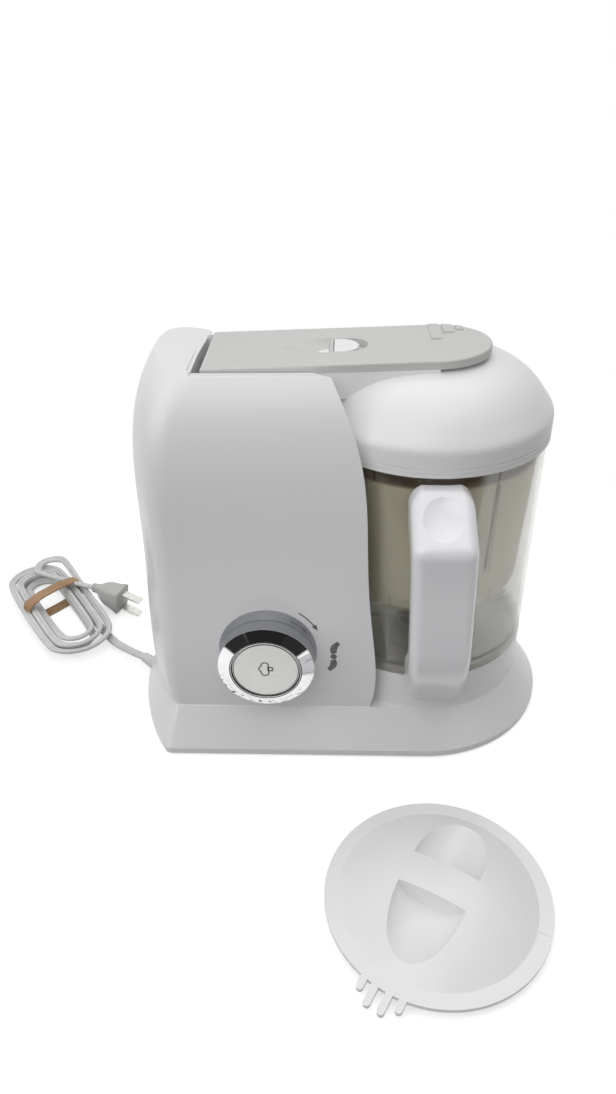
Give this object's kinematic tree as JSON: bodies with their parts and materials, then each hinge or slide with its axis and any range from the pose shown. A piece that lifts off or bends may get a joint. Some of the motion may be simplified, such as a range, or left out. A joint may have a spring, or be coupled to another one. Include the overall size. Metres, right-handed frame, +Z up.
{
  "type": "baby food maker",
  "caption": "Steam cooker and blender for baby food: upright housing with a knob, clear jug with handle and basket under a hinged dome lid, corded, with a loose mixing lid.",
  "frame": {"origin": "on the floor under the middle of the base", "axes": "+Z up, +X from the housing to the jug, +Y to the back; the jug's handle faces -Y"},
  "size_m": [0.3922, 0.3547, 0.2361],
  "materials": {
    "white_gloss": "white gloss",
    "white_satin": "white satin",
    "arm_grey": "arm grey",
    "clear_jug": "clear jug",
    "basket_cream": "basket cream",
    "handle_white": "handle white",
    "chrome": "chrome",
    "brushed_button": "brushed button",
    "collar_grey": "collar grey",
    "rubber_grey": "rubber grey",
    "seal_white": "seal white",
    "steel": "steel",
    "dark_plastic": "dark plastic",
    "board_green": "board green",
    "brass": "brass",
    "iron": "iron",
    "belt_black": "belt black",
    "cord_white": "cord white",
    "plug_grey": "plug grey",
    "band_tan": "band tan",
    "inner_plastic": "inner plastic"
  },
  "bodies": {
    "machine": {"base_plinth": "white_gloss", "bottom_plate": "white_satin", "foot_ring": "rubber_grey", "plate_screws": "steel", "front_shell": "white_gloss", "rear_shell": "white_gloss", "lid_deck": "white_satin", "hinge_pin": "steel", "inner_shelf": "inner_plastic", "boiler_cup": "steel", "boiler_neck": "steel", "boiler_skirt": "steel", "heating_element": "steel", "thermostat": "dark_plastic", "motor_mount": "rubber_grey", "motor_can": "steel", "motor_bell": "steel", "motor_magnets": "iron", "motor_brushes": "brass", "drive_belt": "belt_black", "shaft_bush": "brass", "jug_seat": "white_gloss", "knob_collar": "collar_grey", "press_switch": "dark_plastic", "turn_switch": "dark_plastic", "control_board": "board_green", "cord_gland": "cord_white", "cord_lead": "cord_white", "cord_hank": "cord_white", "cord_tail": "cord_white", "cord_band": "band_tan", "plug_body": "plug_grey", "plug_blades": "brass"},
    "rotor": {"motor_rotor": "iron", "motor_pulley": "brass"},
    "drive": {"driven_pulley": "inner_plastic", "drive_shaft": "steel", "drive_coupling": "dark_plastic"},
    "jug": {"jug_bowl": "clear_jug", "jug_handle": "handle_white", "steam_basket": "basket_cream"},
    "blade": {"blade_hub": "dark_plastic", "blade_wings": "steel"},
    "lid": {"lid_dome": "white_satin", "lid_arm": "arm_grey", "lid_seal": "seal_white", "steam_seal": "seal_white"},
    "latch": {"latch_slider": "white_gloss"},
    "knob": {"knob_bezel": "chrome"},
    "button": {"steam_button": "brushed_button", "button_plunger": "inner_plastic"},
    "mixing_cover": {"mixing_lid": "white_gloss"}
  },
  "joints": [
    {"name": "lid_hinge", "type": "hinge", "parent": "machine", "child": "lid", "pos_m": [-0.0545, 0, 0.2195], "axis": [0, -1, 0], "range_deg": [0, 78]},
    {"name": "latch_slide", "type": "slide", "parent": "lid", "child": "latch", "axis": [1, 0, 0], "range_m": [0, 0.004], "stiffness_N_per_m": 150},
    {"name": "knob_turn", "type": "hinge", "parent": "machine", "child": "knob", "pos_m": [-0.0415, -0.07, 0.071], "axis": [0, 1, 0], "range_deg": [0, 40], "stiffness_Nm_per_rad": 0.06},
    {"name": "button_press", "type": "slide", "parent": "machine", "child": "button", "axis": [0, 1, 0], "range_m": [0, 0.0025], "stiffness_N_per_m": 400},
    {"name": "jug_twist", "type": "hinge", "parent": "machine", "child": "jug", "pos_m": [0.0515, 0, 0.06], "axis": [0, 0, 1], "range_deg": [0, 30]},
    {"name": "motor_spin", "type": "hinge", "parent": "machine", "child": "rotor", "pos_m": [-0.08, 0, 0.06], "axis": [0, 0, 1], "continuous": true},
    {"name": "drive_spin", "type": "hinge", "parent": "machine", "child": "drive", "pos_m": [0.0515, 0, 0.03], "axis": [0, 0, 1], "continuous": true},
    {"name": "blade_spin", "type": "hinge", "parent": "jug", "child": "blade", "pos_m": [0.0515, 0, 0.06], "axis": [0, 0, 1], "continuous": true},
    {"name": "mixing_lid_lift", "type": "slide", "parent": "machine", "child": "mixing_cover", "axis": [0, 0, 1], "range_m": [0, 0.12]}
  ],
  "couplings": [
    {"joint": "drive_spin", "follows": "motor_spin", "ratio": 0.25},
    {"joint": "blade_spin", "follows": "motor_spin", "ratio": 0.25}
  ]
}
